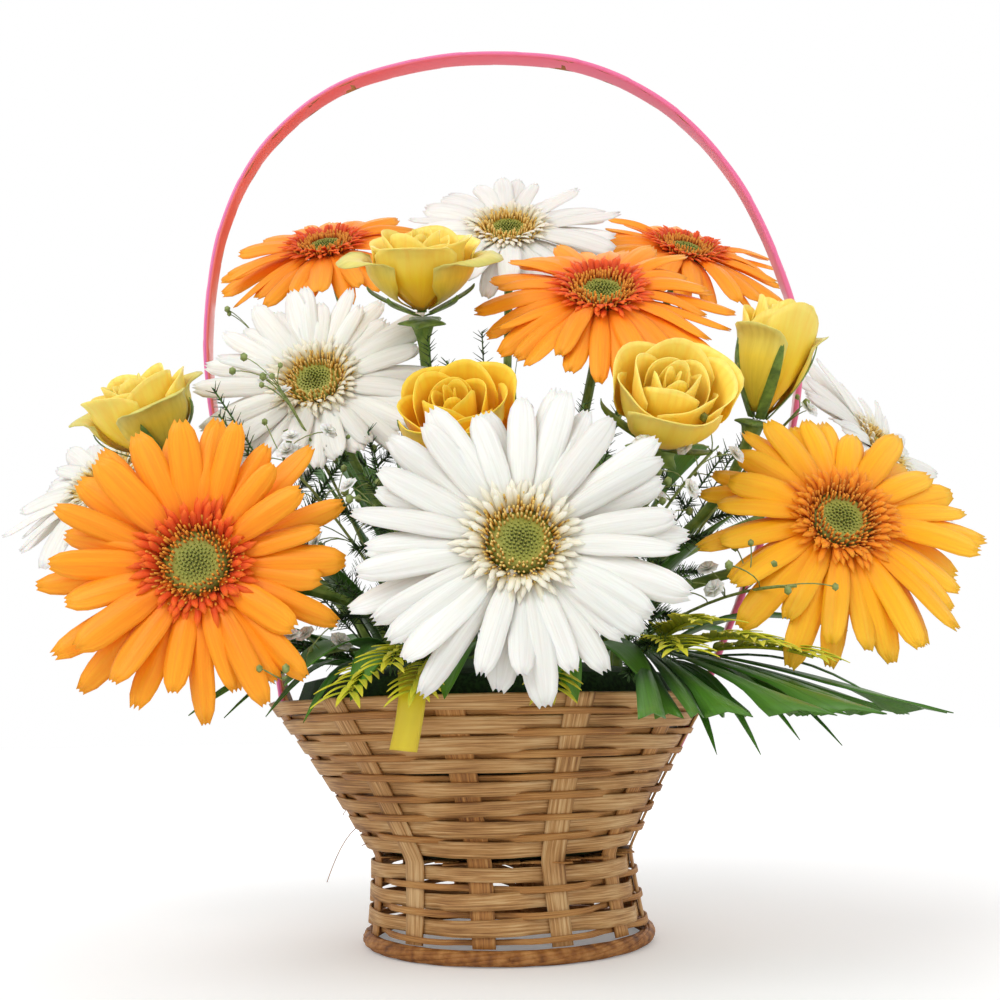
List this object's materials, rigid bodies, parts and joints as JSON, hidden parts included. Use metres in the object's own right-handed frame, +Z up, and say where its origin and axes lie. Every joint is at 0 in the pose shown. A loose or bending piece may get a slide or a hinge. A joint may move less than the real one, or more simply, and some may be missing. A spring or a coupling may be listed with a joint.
{
  "type": "flower basket arrangement",
  "caption": "Cut gerberas, roses and greenery standing in wet foam inside a footed woven bamboo basket with a ribbon-wrapped hoop handle.",
  "frame": {"origin": "on the basket's axis, on the surface the foot stands on", "axes": "+Z up, -Y towards the front of the arrangement, +X to its right seen from the front"},
  "size_m": [0.4034, 0.2663, 0.3604],
  "materials": {
    "bamboo": "matte",
    "foil": "satin",
    "foam": "matte",
    "pink_satin": "satin",
    "yellow_satin": "satin",
    "orange_petal": "matte",
    "white_petal": "matte",
    "rose_petal": "matte",
    "leaf": "matte",
    "stem": "matte"
  },
  "bodies": {
    "root": {"babys_breath_left": "stem", "babys_breath_right": "stem", "bowl_floor": "bamboo", "bowl_narrow_weaver": "bamboo", "bowl_wide_weaver": "bamboo", "floral_foam": "foam", "foil_liner": "foil", "foot_coil": "bamboo", "foot_narrow_weaver": "bamboo", "foot_wide_weaver": "bamboo", "handle_hoop": "bamboo", "handle_ribbon": "pink_satin", "orange_gerbera_back_left": "orange_petal", "orange_gerbera_back_left_stem": "stem", "orange_gerbera_back_right": "orange_petal", "orange_gerbera_back_right_stem": "stem", "orange_gerbera_front_left": "orange_petal", "orange_gerbera_front_left_stem": "stem", "orange_gerbera_top_right": "orange_petal", "orange_gerbera_top_right_stem": "stem", "palm_leaf_back": "leaf", "palm_leaf_back_left": "leaf", "palm_leaf_back_right": "leaf", "palm_leaf_front_right": "leaf", "palm_leaf_left": "leaf", "rose_bud_right": "rose_petal", "rose_bud_right_stem": "stem", "rose_far_left": "rose_petal", "rose_far_left_stem": "stem", "rose_middle": "rose_petal", "rose_middle_stem": "stem", "rose_right": "rose_petal", "rose_right_stem": "stem", "rose_top": "rose_petal", "rose_top_stem": "stem", "stake_01": "bamboo", "stake_02": "bamboo", "stake_03": "bamboo", "stake_04": "bamboo", "stake_05": "bamboo", "stake_06": "bamboo", "stake_07": "bamboo", "stake_08": "bamboo", "stake_09": "bamboo", "stake_10": "bamboo", "stake_11": "bamboo", "stake_12": "bamboo", "white_gerbera_far_left": "white_petal", "white_gerbera_far_left_stem": "stem", "white_gerbera_far_right": "white_petal", "white_gerbera_far_right_stem": "stem", "white_gerbera_front": "white_petal", "white_gerbera_front_stem": "stem", "white_gerbera_left": "white_petal", "white_gerbera_left_stem": "stem", "white_gerbera_top": "white_petal", "white_gerbera_top_stem": "stem", "yellow_orange_gerbera_front_right": "orange_petal", "yellow_orange_gerbera_front_right_stem": "stem", "yellow_ribbon": "yellow_satin"}
  },
  "joints": []
}
